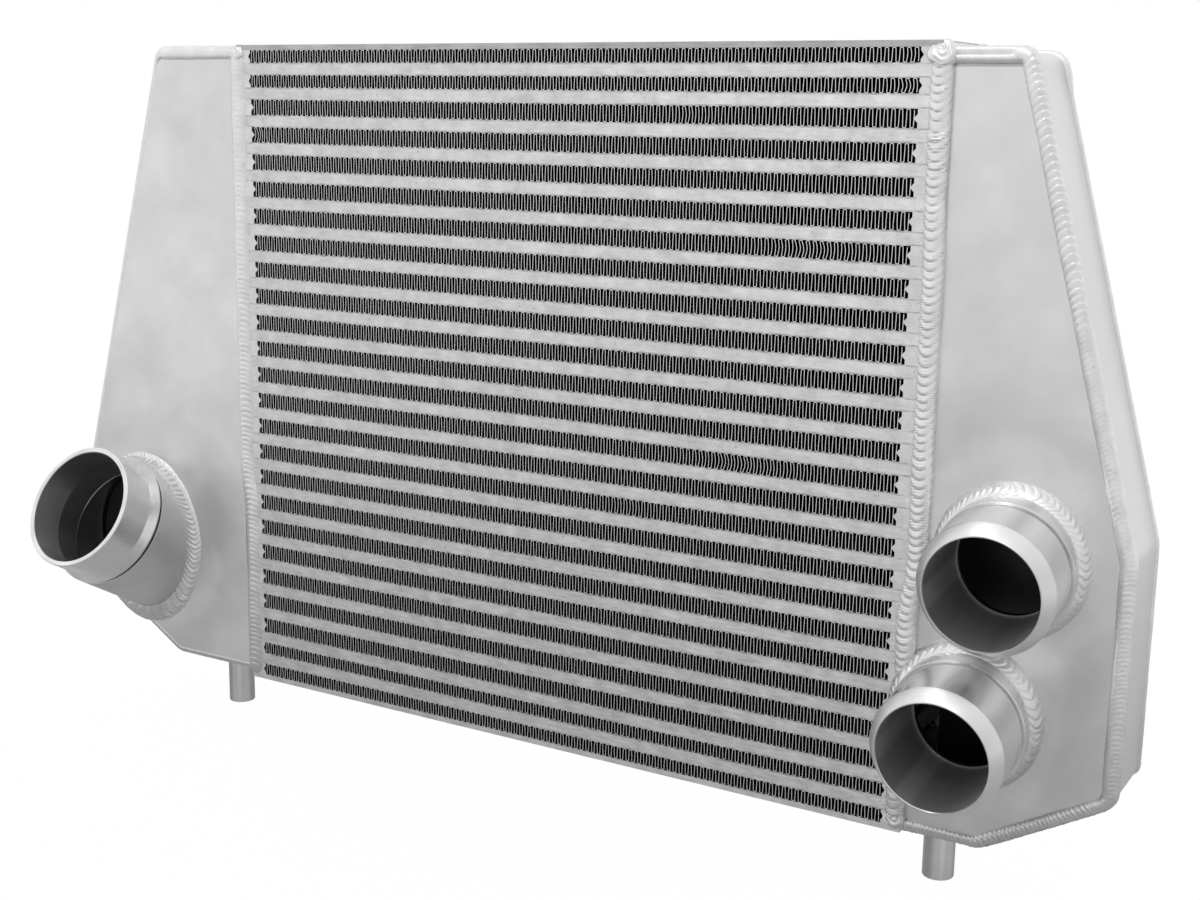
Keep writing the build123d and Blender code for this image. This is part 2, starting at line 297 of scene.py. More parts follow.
def spigotBorePaintedReflections(tree):  # painted reflections, each bore lit at its own angles; 100 mm up lies between the two
    upper = paintedReflectionStreaks(tree, 0.74, [((1, 0, 0.22), 0.965, 0.34), ((0.3, 0, 0.95), 0.9, 0.12)])
    lower = paintedReflectionStreaks(tree, 0.76, [((1, 0, 0.08), 0.968, 0.32), ((0.5, 0, 0.87), 0.968, 0.32)])
    return blended(tree, remap(tree, fromAxis(tree, "Z"), 0.0995, 0.1005), upper, lower)


def portBorePaintedLight(tree):  # painted light along its right-hand side
    return paintedReflectionStreaks(tree, 0.50, [((0.9, 0, 0.35), 0.45, 0.75)])


def rimPaintedHighlight(tree):  # painted highlight, bright at the top of the ring only
    return remap(tree, fromAxis(tree, "Z"), 0.084, 0.094, 0.25, 1.0)


# Painted highlight and painted shade bands down the pins.
def pinPaintedLightAndShade(tree):
    return paintedReflectionStreaks(tree, 0.93, [((0.52, -0.85, 0), 0.97, 0.20), ((0.95, 0.3, 0), 0.75, -0.36),
                                 ((-0.5, -0.87, 0), 0.8, -0.36)])


def barPaintedShade(tree):  # painted shade, a little duller towards the left-hand end
    return remap(tree, fromAxis(tree, "X"), 0.0, 0.42, 0.89, 1.01)


# Base colour runs from dark to light with the grain and clouding; specks darken it and shade, mostly painted light and
# shade, multiplies it.
# Scales are per metre, the bump is millimetres, and turned finishes have an axis with lines and bands along it.
common = dict(rough=0.5, spread=0.05, bump=0.004, specks=0.03, stretch=(1, 1, 1), grain=900.0, cloud=30.0,
              speck=900.0, grainPart=0.3)
finishes = {
    "plate": dict(dark=0.73, light=0.87, rough=0.42, bump=0.010, specks=0.05, stretch=(1, 1, 0.05), grain=1400.0,
                  cloud=26.0, grainPart=0.16, shade=plateTintAndPaintedShade),
    "wall": dict(dark=0.76, light=0.85, rough=0.40, bump=0.010, specks=0.05, stretch=(1, 1, 0.05), grain=1400.0,
                 cloud=11.0),
    "bar": dict(dark=0.66, light=0.96, rough=0.45, spread=0.08, bump=0.03, specks=0.30, stretch=(0.12, 1, 1),
                grain=800.0, cloud=120.0, speck=650.0, grainPart=0.45, shade=barPaintedShade),
    "endBar": dict(dark=0.70, light=0.90, rough=0.48, spread=0.08, bump=0.03, specks=0.28, stretch=(0.5, 1, 1),
                   grain=700.0, cloud=150.0, speck=600.0, grainPart=0.4),
    "sheet": dict(dark=0.40, light=0.90, spread=0.08, bump=0.03, specks=0.4, stretch=(0.3, 1, 1), grain=500.0,
                  cloud=210.0, speck=700.0),
    "sidePlate": dict(dark=0.38, light=0.66, rough=0.45, spread=0.08, bump=0.03, specks=0.35, stretch=(0.05, 1, 1),
                      grain=1200.0, cloud=60.0, speck=600.0, grainPart=0.5),
    # Both fin finishes carry painted shade between the fins, darker on the upper side of the sheet.
    "fin": dict(dark=0.84, light=0.95, rough=0.45, specks=0.05, cloud=40.0, grainPart=0.4, shade=upperSidePaintedShade),
    "finUnder": dict(dark=0.84, light=0.95, rough=0.45, specks=0.05, cloud=40.0, grainPart=0.4,
                     shade=undersidePaintedShade),
    "weld": dict(dark=0.76, light=0.93, rough=0.38, spread=0.06, bump=0.014, specks=0.22, grain=1300.0,
                 cloud=120.0, speck=500.0, grainPart=0.4, shade=weldPaintedShade),
    # The neck's darker colour is painted shade.
    "neck": dict(dark=0.60, light=0.74, rough=0.42, spread=0.06, bump=0.01, specks=0.08, grain=700.0, cloud=35.0),
    "rightTurned": dict(dark=0.80, light=0.98, rough=0.22, spread=0.04, bump=0.003, grainPart=0.16,
                        axis=rightAxis, lines=2600.0, bands=60.0, shade=barrelPaintedReflections),
    "rightNose": dict(dark=0.74, light=0.86, rough=0.36, spread=0.04, bump=0.003, specks=0.04, axis=rightAxis,
                      lines=2600.0, bands=60.0),
    "rightBore": dict(dark=0.86, light=1.0, axis=rightAxis, lines=2600.0, bands=58.0, shade=spigotBorePaintedReflections),
    "leftTurned": dict(dark=0.70, light=0.92, rough=0.26, spread=0.04, bump=0.003, grainPart=0.16, axis=leftAxis,
                       lines=2400.0, bands=50.0),
    # The left port's bore: painted light.
    "leftBorePaintedLight": dict(dark=0.60, light=1.0, axis=leftAxis, lines=2400.0, bands=45.0, shade=portBorePaintedLight),
    # The ferrule's rim: painted highlight.
    "leftRimPaintedHighlight": dict(dark=0.70, light=0.92, rough=0.3, spread=0.04, bump=0.003, grainPart=0.16, axis=leftAxis,
                    lines=2400.0, bands=50.0, shade=rimPaintedHighlight),
    # The deep parts of the left port: a darker copy, painted shade.
    "leftDeepPaintedShade": dict(dark=0.38, light=0.56, axis=leftAxis, lines=2000.0, bands=40.0),
    # Near-black grooves: painted shade.
    "groove": dict(dark=0.03, light=0.07, bump=0.01, specks=0.0, cloud=60.0, grainPart=0.5),
    "pin": dict(dark=0.80, light=0.95, rough=0.28, bump=0.006, specks=0.08, stretch=(1, 1, 0.1), cloud=60.0,
                grainPart=0.4, shade=pinPaintedLightAndShade),
}


def metal(name, finish):
    finish = {**common, **finish}
    material = bpy.data.materials.new(f"{name}Metal")
    material.use_nodes = True
    tree = material.node_tree
    tree.nodes.clear()
    shader = addNode(tree, "ShaderNodeBsdfPrincipled")
    shader.inputs["Metallic"].default_value = 1.0
    plug(tree, shader.outputs[0], addNode(tree, "ShaderNodeOutputMaterial").inputs["Surface"])
    group = addNode(tree, "ShaderNodeGroup", node_tree=grainGroup)
    for label, key in (("Stretch", "stretch"), ("Grain Scale", "grain"), ("Cloud Scale", "cloud"),
                       ("Speck Scale", "speck")):
        group.inputs[label].default_value = finish[key]
    grain, cloud = group.outputs["Grain"], group.outputs["Cloud"]
    if "axis" in finish:
        turned = addNode(tree, "ShaderNodeGroup", node_tree=turnedGroup)
        turned.inputs["Axis"].default_value = tuple(finish["axis"])
        turned.inputs["Line Scale"].default_value = finish["lines"]
        turned.inputs["Band Scale"].default_value = finish["bands"]
        grain, cloud = turned.outputs["Lines"], turned.outputs["Bands"]
    part = finish["grainPart"]
    blend = calc(tree, "ADD", calc(tree, "MULTIPLY", cloud, 1 - part), calc(tree, "MULTIPLY", grain, part))
    level = remap(tree, blend, 0.32, 0.68, finish["dark"], finish["light"])
    dirt = calc(tree, "SUBTRACT", 1.0, calc(tree, "MULTIPLY", group.outputs["Specks"], finish["specks"]))
    level = calc(tree, "MULTIPLY", level, dirt)
    if "shade" in finish:
        level = calc(tree, "MULTIPLY", level, finish["shade"](tree))
    color = addNode(tree, "ShaderNodeCombineColor")
    for channel in color.inputs:
        plug(tree, level, channel)
    plug(tree, color.outputs[0], shader.inputs["Base Color"])
    rough = remap(tree, grain, 0.3, 0.7, finish["rough"] - finish["spread"], finish["rough"] + finish["spread"])
    plug(tree, rough, shader.inputs["Roughness"])
    relief = addNode(tree, "ShaderNodeBump")
    relief.inputs["Strength"].default_value = 0.6
    relief.inputs["Distance"].default_value = finish["bump"] * mm
    height = calc(tree, "SUBTRACT", grain, calc(tree, "MULTIPLY", group.outputs["Specks"], 0.6))
    plug(tree, height, relief.inputs["Height"])
    plug(tree, relief.outputs["Normal"], shader.inputs["Normal"])
    return material


materials = {name: metal(name, finish) for name, finish in finishes.items()}
print("metals", len(materials))


def unitRows(rows):
    return rows / np.linalg.norm(rows, axis=1)[:, None]


# A mesh with its finishes. Owners say which finish each face has, and sharp is the angle that still shows an edge.
def makePiece(name, points, faces, finishNames, replaced, owners=None, *, sharp):
    mesh = bpy.data.meshes.new(name)
    mesh.from_pydata((np.asarray(points, float) * mm).tolist(), [], faces)
    for key in finishNames:
        mesh.materials.append(materials[key])
    if owners is not None:
        mesh.polygons.foreach_set("material_index", owners)
    mesh.polygons.foreach_set("use_smooth", [True] * len(mesh.polygons))
    mesh.set_sharp_from_angle(angle=math.radians(sharp))
    mesh.update()
    piece = bpy.data.objects.new(name, mesh)
    scene.collection.objects.link(piece)
    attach(piece, "root")
    if replaced:
        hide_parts(*replaced)


# Closed rings of one size joined in order; a loop joins the last to the first as well.
def ringFaces(count, size, loop=False):
    faces = []
    for i in range(count if loop else count - 1):
        a, b = i * size, (i + 1) % count * size
        for j in range(size):
            k = (j + 1) % size
            faces.append((a + j, a + k, b + k, b + j))
    return faces


def evenly(points, step):  # points spaced evenly along a line, and how far along it each lies
    lengths = np.linalg.norm(np.diff(points, axis=0), axis=1)
    along = np.concatenate([[0], np.cumsum(lengths)])
    count = max(2, int(round(along[-1] / step)) + 1)
    samples = np.linspace(0, along[-1], count)
    return np.stack([np.interp(samples, along, points[:, k]) for k in range(points.shape[1])], 1), samples


# A line through corners with a round bend at each inner one, as even points and their distance along it.
def bentLine(corners, bends, step):
    corners = [np.array(c, float) for c in corners]
    points = [corners[0]]
    for corner, before, after, radius in zip(corners[1:-1], corners[:-2], corners[2:], bends):
        before, after = unit(before - corner), unit(after - corner)
        half = math.acos(np.clip(before @ after, -1, 1)) / 2
        centre = corner + unit(before + after) * radius / math.sin(half)
        u, v = corner + before * radius / math.tan(half) - centre, corner + after * radius / math.tan(half) - centre
        turn = math.pi - 2 * half
        for t in np.linspace(0, 1, 17):
            points.append(centre + (math.sin((1 - t) * turn) * u + math.sin(t * turn) * v) / math.sin(turn))
    points.append(corners[-1])
    return evenly(np.array(points), step)


def wander(values, seed, scale):  # an aimless wave, the same for the same seed
    total = np.zeros_like(values)
    for k in range(1, 6):
        total += np.sin(values / scale * k * 1.31 + seed * 7.7 * k + k * k) / k
    return total / 2.3


def ease(values, low, high):  # from 0 at low to 1 at high, soft at both ends
    t = np.clip((values - low) / (high - low), 0, 1)
    return t * t * (3 - 2 * t)


# Moves each side of an outline inwards, apart from the open one against the core.
def inset(corners, distance):
    corners = [np.array(c, float) for c in corners]
    middle = np.mean(corners, axis=0)
    lines = []
    for a, b in zip(corners[:-1], corners[1:]):
        normal = unit((-(b - a)[1], (b - a)[0]))
        if normal @ (middle - a) < 0:
            normal = -normal
        lines.append((a + normal * distance, b - a))
    moved = [np.array((corners[0][0], lines[0][0][1]))]
    for (p, d), (q, e) in zip(lines[:-1], lines[1:]):
        t = np.linalg.solve(np.array([d, -e]).T, q - p)[0]
        moved.append(p + d * t)
    moved.append(np.array((corners[-1][0], lines[-1][0][1])))
    return moved


# Ambient fins: one sheet a row, folded up and down. Legs alternate, and lean and wobble a little.
# A bruise pushes the legs sideways where they were knocked: row from the bottom, place, reach and strength.
finSheet = {"legPitch": 1.8, "thickness": 0.32, "crest": 0.42, "lean": 0.11, "wobble": 0.07, "setBack": 0.15,
            "leftGap": 2.2, "rightGap": 1.8, "shortGap": 0.4,
            "bruises": [(18, 395.0, 26.0, 1.0), (11, 362.0, 30.0, 1.0), (22, 330.0, 14.0, 0.5), (24, 443.0, 4.0, 0.6),
                        (23, 441.0, 7.0, 0.8), (21, 50.0, 5.0, 1.3), (9, 300.0, 18.0, 0.4)]}


def legPush(row, leg, x, t):  # how far a leg stands aside at the part t of its height
    bow = math.sin(math.pi * t)
    push = finSheet["lean"] * (2 * t - 1) * (1 if leg % 2 == 0 else -1)
    push += finSheet["wobble"] * bow * math.sin(leg * 0.31 + row)
    for bruisedRow, centre, reach, strength in finSheet["bruises"]:
        if bruisedRow == row:
            near = math.exp(-((x - centre) / reach) ** 2)
            push += strength * near * (bow - 0.35) * (0.75 + 0.25 * math.sin(leg * 0.9))
    return push


def foldLine(row):  # the sheet's middle line as points across and up, from its left end to its right one
    pitch, thick, crestBend = finSheet["legPitch"], finSheet["thickness"], finSheet["crest"]
    low, height = rowSpan(row)
    low, high = low + thick / 2, low + height - thick / 2
    tall = height == core["tallRow"]
    leftEnd = core["left"] + core["endBar"] + finSheet["leftGap" if tall else "shortGap"]
    rightEnd = core["right"] - core["endBar"] - finSheet["rightGap" if tall else "shortGap"]
    count = int((rightEnd - leftEnd) / pitch) + 1
    start = (leftEnd + rightEnd - (count - 1) * pitch) / 2
    line = []
    for leg in range(count):
        x = start + leg * pitch
        legPoints = [(x + legPush(row, leg, x, t), low + crestBend + (high - low - 2 * crestBend) * t)
                     for t in (0.0, 0.3, 0.5, 0.7, 1.0)]
        crest = high if leg % 2 == 0 else low
        line += legPoints if leg % 2 == 0 else legPoints[::-1]
        if leg < count - 1:
            shoulder = crest - math.copysign(crestBend * 0.3, crest - low - 1)
            line += [(x + crestBend * 0.75, shoulder), (x + pitch - crestBend * 0.75, shoulder)]
    return np.array(line)


def foldedFins(row):
    line, thick = foldLine(row), finSheet["thickness"]
    tangent = unitRows(np.gradient(line, axis=0))
    normal = np.stack([-tangent[:, 1], tangent[:, 0]], 1)
    ring = np.concatenate([line + normal * thick / 2, (line - normal * thick / 2)[::-1]])
    size, half = len(ring), len(line)
    slices = (core["front"] + finSheet["setBack"], core["front"] + 2.5, core["back"] - finSheet["setBack"])
    points = np.concatenate([np.stack([ring[:, 0], np.full(size, y), ring[:, 1]], 1) for y in slices])
    faces = ringFaces(len(slices), size)
    owners = [0 if k % size < half else 1 for k in range(len(faces))] + [0] * (2 * half - 2)
    last = (len(slices) - 1) * size
    for i in range(half - 1):
        faces.append((i, i + 1, size - 2 - i, size - 1 - i))
        faces.append((last + size - 1 - i, last + size - 2 - i, last + i + 1, last + i))
    makePiece(f"finSheet{row + 1:02d}", points, faces, ["fin", "finUnder"],
              [f"ambient_fins_{row + 1:02d}"], owners, sharp=50)


for row in range(core["rows"]):
    foldedFins(row)
print("fin sheets", core["rows"])


# Core bars and tank plates keep their solids, with a finish and an edge softened by so much.
keptFinish = {
    "front_charge_bars": ("bar", 0.5), "back_charge_bars": ("bar", 0.5), "left_end_bars": ("endBar", 0.2),
    "right_end_bars": ("endBar", 0.2), "top_side_plate": ("sidePlate", 0.5), "bottom_side_plate": ("bar", 0.5),
    "parting_sheets": ("sheet", 0), "charge_fins": ("fin", 0)}
keptFinish.update({f"{side}_tank_{face}_plate": ("plate", 0) for side in tanks for face in ("front", "back")})
for node, (key, width) in keptFinish.items():
    kept = nodes[node]
    kept.data.materials.clear()
    kept.data.materials.append(materials[key])
    if width:
        edge = kept.modifiers.new("edge", "BEVEL")
        edge.width = width * mm
        edge.segments = 2
        edge.limit_method = "ANGLE"
        edge.angle_limit = math.radians(40)
print("kept solids", len(keptFinish))


# Tank walls: one sheet bent round each tank, with its edges rounded over by the welds.
wallSheet = {"thickness": 3.0, "edgeRound": 0.5, "step": 1.5}


def tankWall(side):
    thick, soft = wallSheet["thickness"], wallSheet["edgeRound"]
    corners = tanks[side]["corners"]
    outer, _ = bentLine(corners, tanks[side]["wallBends"], wallSheet["step"])
    along = unitRows(np.gradient(outer, axis=0))
    inward = np.stack([-along[:, 1], along[:, 0]], 1)
    if inward[0] @ (np.mean(corners, axis=0) - outer[0]) < 0:
        inward = -inward
    cut = 0.3 * soft
    section = [(0.0, plateFront + soft), (cut, plateFront + cut), (soft, plateFront), (thick, plateFront),
               (thick, plateBack), (soft, plateBack), (cut, plateBack - cut), (0.0, plateBack - soft)]
    rings = [(p[0] + n[0] * depth, y, p[1] + n[1] * depth) for p, n in zip(outer, inward) for depth, y in section]
    faces = ringFaces(len(outer), len(section))
    last = (len(outer) - 1) * len(section)
    faces += [tuple(range(len(section))), tuple(last + k for k in reversed(range(len(section))))]
    makePiece(f"{side}Wall", rings, faces, ["wall"], [f"{side}_tank_wall"], sharp=28)


for side in tanks:
    tankWall(side)
print("tank walls", len(tanks))


# Weld section: a flat oval cap over the joint, closed underneath.
def capSection(wide, tall, reach=104, count=15):
    angle = np.radians(np.linspace(-reach, reach, count))
    return np.stack([wide * np.sin(angle), tall * np.cos(angle)], 1)


# How far the puddles of a weld stand up: they overlap like scales, each trailing edge a crescent across the bead.
puddle = {"pitchSpread": 0.24, "trailSpread": 0.25, "drift": 1.1, "rise": 0.18, "fall": 0.66, "middle": 0.55,
          "ripple": 0.16, "heightSpread": 0.3, "sizeSpread": 0.05, "edgeFade": 0.75, "pitDepth": 1.2}


def puddleLift(along, t, look):
    seed, pitch, travel = look["seed"], look["pitch"], look.get("travel", 1)
    steps = np.linspace(along[0] - 20, along[-1] + 20, 4000)
    rate = 1 / (pitch(steps) if callable(pitch) else np.full(len(steps), float(pitch)))
    rate = rate * (1 + puddle["pitchSpread"] * wander(steps, seed, 11.0))
    turns = np.concatenate([[0], np.cumsum((rate[1:] + rate[:-1]) / 2 * np.diff(steps))])
    trail = (1 + puddle["trailSpread"] * wander(along, seed + 4, 9.0))[:, None]
    lagged = along[:, None] - travel * look["crescent"] * (np.abs(t) ** 1.5)[None, :] * trail
    slant = look["slant"](along) if "slant" in look else 0
    lagged += (puddle["drift"] * wander(along, seed + 7, 14.0) + slant)[:, None] * t[None, :]
    count = np.interp(lagged, steps, turns) * travel
    phase = count % 1.0
    scale = np.clip(np.sqrt(phase / puddle["rise"]), 0, 1) * (1 - puddle["fall"] * phase ** 1.6) - puddle["middle"]
    ripple = np.sin(2 * math.pi * phase * 3) * (0.6 + 0.4 * np.sin(np.floor(count) * 1.7))
    uneven = 0.95 + puddle["heightSpread"] * np.sin(np.floor(count) * 2.4 + seed)
    fade = (1 - puddle["edgeFade"] * np.abs(t) ** 3.5)[None, :]
    return look["height"] * (scale + puddle["ripple"] * ripple) * uneven * fade


def valueAlong(value, along):  # an array, or a function of the distance along the run
    return value(along) if callable(value) else value


# A weld run along a path. Its look has pitch, height, crescent and seed, and if wanted travel (1 or -1) and slant,
# calm (how strong the scales are), swell (size), flat (height), crease (a groove down the middle),
# shear (sideways lean) and pits (places and reaches of pitted metal).
def weldRun(name, path, along, facing, section, replaced, look, loop=False):
    tangent = (np.roll(path, -1, 0) - np.roll(path, 1, 0)) if loop else np.gradient(path, axis=0)
    tangent = unitRows(tangent)
    facing = np.broadcast_to(np.asarray(facing, float), path.shape)
    side = unitRows(np.cross(tangent, facing))
    up = np.cross(side, tangent)
    edge = np.gradient(section, axis=0)
    outward = unitRows(np.stack([-edge[:, 1], edge[:, 0]], 1))
    if outward[len(section) // 2] @ section[len(section) // 2] < 0:
        outward = -outward
    t = np.linspace(-1, 1, len(section))
    lift = puddleLift(along, t, look)
    if "calm" in look:
        lift = lift * valueAlong(look["calm"], along)[:, None]
    if "crease" in look:
        lift = lift - look["crease"](along)[:, None] * np.exp(-((t - 0.1) / 0.14) ** 2)[None, :]
    for place, reach in look.get("pits", ()):  # pitted metal where the gas cover was lost
        near = np.exp(-(np.linalg.norm(path - place, axis=1) / reach) ** 2)
        spots = np.sin(along[:, None] * 2.1 + 1.6 * np.sin(t * 5)) * np.sin(t * 8 + 1.8 * np.sin(along[:, None] * 1.3))
        lift = lift - near[:, None] * puddle["pitDepth"] * np.clip(spots - 0.2, 0, 1)
    size = 1 + puddle["sizeSpread"] * wander(along, look["seed"] + 2, 16.0)
    if "swell" in look:
        size = size * valueAlong(look["swell"], along)
    low = look["flat"](along)[:, None] if "flat" in look else 1
    s = section[None, :, 0] * size[:, None] + outward[None, :, 0] * lift
    u = section[None, :, 1] * size[:, None] * low + outward[None, :, 1] * lift
    under = np.array([section[-1] * (0.55, 1) - (0, 1.0), section[0] * (0.55, 1) - (0, 1.0)])
    s = np.concatenate([s, size[:, None] * under[None, :, 0]], 1)
    u = np.concatenate([u, size[:, None] * under[None, :, 1]], 1)
    if "shear" in look:
        s = s + u * look["shear"][:, None]
    points = (path[:, None, :] + s[:, :, None] * side[:, None, :] + u[:, :, None] * up[:, None, :]).reshape(-1, 3)
    ring = len(section) + 2
    faces = ringFaces(len(path), ring, loop)
    if not loop:
        last = (len(path) - 1) * ring
        faces += [tuple(range(ring - 1, -1, -1)), tuple(range(last, last + ring))]
    makePiece(name, points, faces, ["weld"], replaced, sharp=60)


# Welds round the tank plates. The left tank's long outer edge was dressed almost flush, and the right tank's
# front run starts with a second pass beside it, up to doubleRun. Places are distances along the run.
edgeWeld = {"frontWide": 4.2, "frontTall": 3.5, "backWide": 2.7, "backTall": 2.3, "depth": 1.6, "step": 0.42,
            "backStep": 0.8, "flushFrom": (58.0, 72.0), "flushSize": 0.47, "doubleRun": 34.0}


def edgePath(side, bends, level, step):
    tank, depth = tanks[side], edgeWeld["depth"]
    line, along = bentLine(inset(tank["corners"], depth), [max(2.0, r - depth) for r in tank[bends]], step)
    path = np.stack([line[:, 0], np.full(len(line), level), line[:, 1]], 1)
    tangent = unitRows(np.gradient(line, axis=0))
    outward = np.stack([-tangent[:, 1], np.zeros(len(line)), tangent[:, 0]], 1)
    middle = np.mean(tank["corners"], axis=0)
    if outward[0] @ (path[0] - np.array([middle[0], level, middle[1]])) < 0:
        outward = -outward
    lean = 0.5 + tank["bottomLean"] * ease(-outward[:, 2], 0.3, 0.8)
    return path, along, outward * lean[:, None] + np.array((0, math.copysign(0.87, level), 0))


def leftEdgeSize(along):
    start, end = edgeWeld["flushFrom"]
    return 1 + (edgeWeld["flushSize"] - 1) * ease(along, start, end) + 0.06 * ease(along, 405, 425)


def rightEdgePitch(along):
    return 3.5 - 1.2 * ease(along, 150, 175)


def rightEdgeCalm(along):
    start = 1 - 0.7 * (1 - ease(along, edgeWeld["doubleRun"], edgeWeld["doubleRun"] + 6))
    return start - 0.6 * ease(along, 140, 165) + 0.9 * ease(along, 382, 392)


def rightEdgeCrease(along):  # between the two passes
    return 1.7 * ease(along, 2, 5) * (1 - ease(along, edgeWeld["doubleRun"] - 4, edgeWeld["doubleRun"]))


def rightEdgeSlant(along):
    return 3.2 * ease(along, 384, 392)


def rightEdgeFlat(along):
    return 1 - 0.2 * ease(along, 440, 460)


def rightBackSize(along):
    return 1.45 - 0.45 * ease(along, 44, 56)


edgeLooks = {
    "leftFront": {"pitch": 2.3, "height": 0.36, "crescent": 3.0, "seed": 4, "swell": leftEdgeSize},
    "rightFront": {"pitch": rightEdgePitch, "height": 0.62, "crescent": 4.6, "seed": 5, "calm": rightEdgeCalm,
                   "crease": rightEdgeCrease, "slant": rightEdgeSlant, "flat": rightEdgeFlat},
    "leftBack": {"pitch": 3.2, "height": 0.3, "crescent": 2.4, "seed": 7},
    "rightBack": {"pitch": 3.2, "height": 0.3, "crescent": 2.4, "seed": 8, "swell": rightBackSize}}
frontCap = capSection(edgeWeld["frontWide"], edgeWeld["frontTall"])
backCap = capSection(edgeWeld["backWide"], edgeWeld["backTall"], count=11)
for face, cap, level, step in (("front", frontCap, plateFront + edgeWeld["depth"], edgeWeld["step"]),
                               ("back", backCap, plateBack - edgeWeld["depth"], edgeWeld["backStep"])):
    for side in tanks:
        path, along, facing = edgePath(side, f"{face}Bends", level, step)
        label = f"{side}{face.capitalize()}"
        weldRun(f"{label}Weld", path, along, facing, cap, [f"{side}_{face}_weld"], edgeLooks[label])
print("edge welds", len(edgeLooks))


# Seams between the tanks and the core, right round the core's end. The left one closes on itself, and the right
# one stops above and below the lower spigot, whose own weld carries on round it. Each has craters where a run
# was broken off: place and radius. Shifts are how far the front run strays inwards, the height where that
# starts and the height where it is full.
seamWeld = {
    "depth": 2.5, "bend": 6.0, "step": 0.36, "gapOverSpigot": (42.0, 78.0),
    "left": {"x": core["left"] - 0.2, "wide": 6.2, "tall": 4.3, "shifts": [(2.4, 128, 104)],
             "craters": [((37.0, -28.4, 371.4), 4.8)],
             "look": {"pitch": 3.0, "height": 0.45, "crescent": 6.0, "seed": 10}},
    "right": {"x": core["right"] + 0.6, "wide": 5.3, "tall": 4.4,
              "shifts": [(-1.0, 270, 310), (-3.4, 132, 104), (-0.8, 30, 12)],
              "craters": [((456.4, -28.2, 369.6), 6.6), ((453.4, -28.4, 3.6), 5.6)],
              "look": {"pitch": 4.1, "height": 1.05, "crescent": 8.0, "travel": -1, "seed": 11,
                       "pits": [((456.0, -26.0, 329.5), 4.0), ((456.0, -26.0, 319.0), 2.6)]}}}


def seamPath(side):
    depth = seamWeld["depth"]
    low, high, half = core["floor"] + depth, coreTop - depth, core["back"] - depth
    corners = [(0, low), (half, low), (half, high), (-half, high), (-half, low), (0, low)]
    line, along = bentLine(corners, [seamWeld["bend"]] * 4, seamWeld["step"])
    path = np.stack([np.full(len(line), seamWeld[side]["x"]), line[:, 0], line[:, 1]], 1)[:-1]
    middle = (low + high) / 2
    atEnds = ease(abs(path[:, 2] - middle), (high - low) / 2 - 6, (high - low) / 2)
    rise = atEnds * 26 * np.sign(path[:, 2] - middle)
    facing = unitRows(np.stack([np.zeros(len(path)), path[:, 1] * (1 - atEnds * 0.2), rise], 1))
    shift = sum(amount * ease(path[:, 2], start, full) for amount, start, full in seamWeld[side]["shifts"])
    path[:, 0] += ease(-path[:, 1], 10, 24) * shift
    return path, along[:-1], facing


def seamRun(side, path, along, facing, loop):
    wide, tall = seamWeld[side]["wide"], seamWeld[side]["tall"]
    # The run over the top lies lower than the ones down the front and back.
    size = 1 - 0.6 * ease(path[:, 2], coreTop - 5, coreTop - 3) * (1 - ease(np.abs(path[:, 1]), 19, 25))
    look = {**seamWeld[side]["look"], "swell": size, "calm": size}
    weldRun(f"{side}SeamWeld", path, along, facing, capSection(wide, tall), [f"{side}_seam_weld"], look, loop)


seamRun("left", *seamPath("left"), loop=True)
path, along, facing = seamPath("right")
gapLow, gapHigh = seamWeld["gapOverSpigot"]
blocked = (path[:, 1] < 0) & (path[:, 2] > gapLow) & (path[:, 2] < gapHigh)
first = int(np.argmax(blocked))
stop = first + int(np.sum(blocked))
order = np.concatenate([np.arange(stop, len(path)), np.arange(0, first)])
runLength = np.concatenate([along[stop:], along[:first] + along[-1] + seamWeld["step"]])
seamRun("right", path[order], runLength, facing[order], loop=False)


# Crater: the swirl where the run was broken off, a low dome with rings in it.
craterShape = {"axis": (0.05, -0.93, 0.36), "rings": 15, "segments": 56, "dome": 0.36, "swirl": 0.26, "lumps": 1.1,
               "skirt": 2.2}


def crater(name, place, radius):
    axis, rings, segments = unit(craterShape["axis"]), craterShape["rings"], craterShape["segments"]
    across = unit(np.cross(axis, (0, 0, 1)))
    other = np.cross(axis, across)
    angle = np.linspace(0, 2 * math.pi, segments, endpoint=False)
    points = []
    for k in range(rings):
        t = k / (rings - 1)
        reach = radius * t * (1 + 0.07 * np.sin(3 * angle + 1) + 0.04 * np.sin(5 * angle))
        swirl = np.sin(t * 15.0 - angle + 0.6 * np.sin(2 * angle)) * min(1.0, 3 * t) * (1 - t ** 4)
        lumps = np.sin(2 * angle + 4 * t + place[0]) * t * (1 - t)
        level = craterShape["dome"] * radius * math.sqrt(max(0.0, 1 - t * t)) + craterShape["swirl"] * swirl
        level = level + craterShape["lumps"] * lumps - (craterShape["skirt"] if k == rings - 1 else 0)
        points.append(np.asarray(place) + np.outer(reach * np.cos(angle) + 0.5 * (1 - t), across)
                      + np.outer(reach * np.sin(angle) - 0.5 * (1 - t), other) + level[:, None] * axis)
    makePiece(name, np.concatenate(points), ringFaces(rings, segments), ["weld"], None, sharp=70)


for side in tanks:
    for number, (place, radius) in enumerate(seamWeld[side]["craters"]):
        crater(f"{side}Crater{number}", place, radius)
print("seam welds")


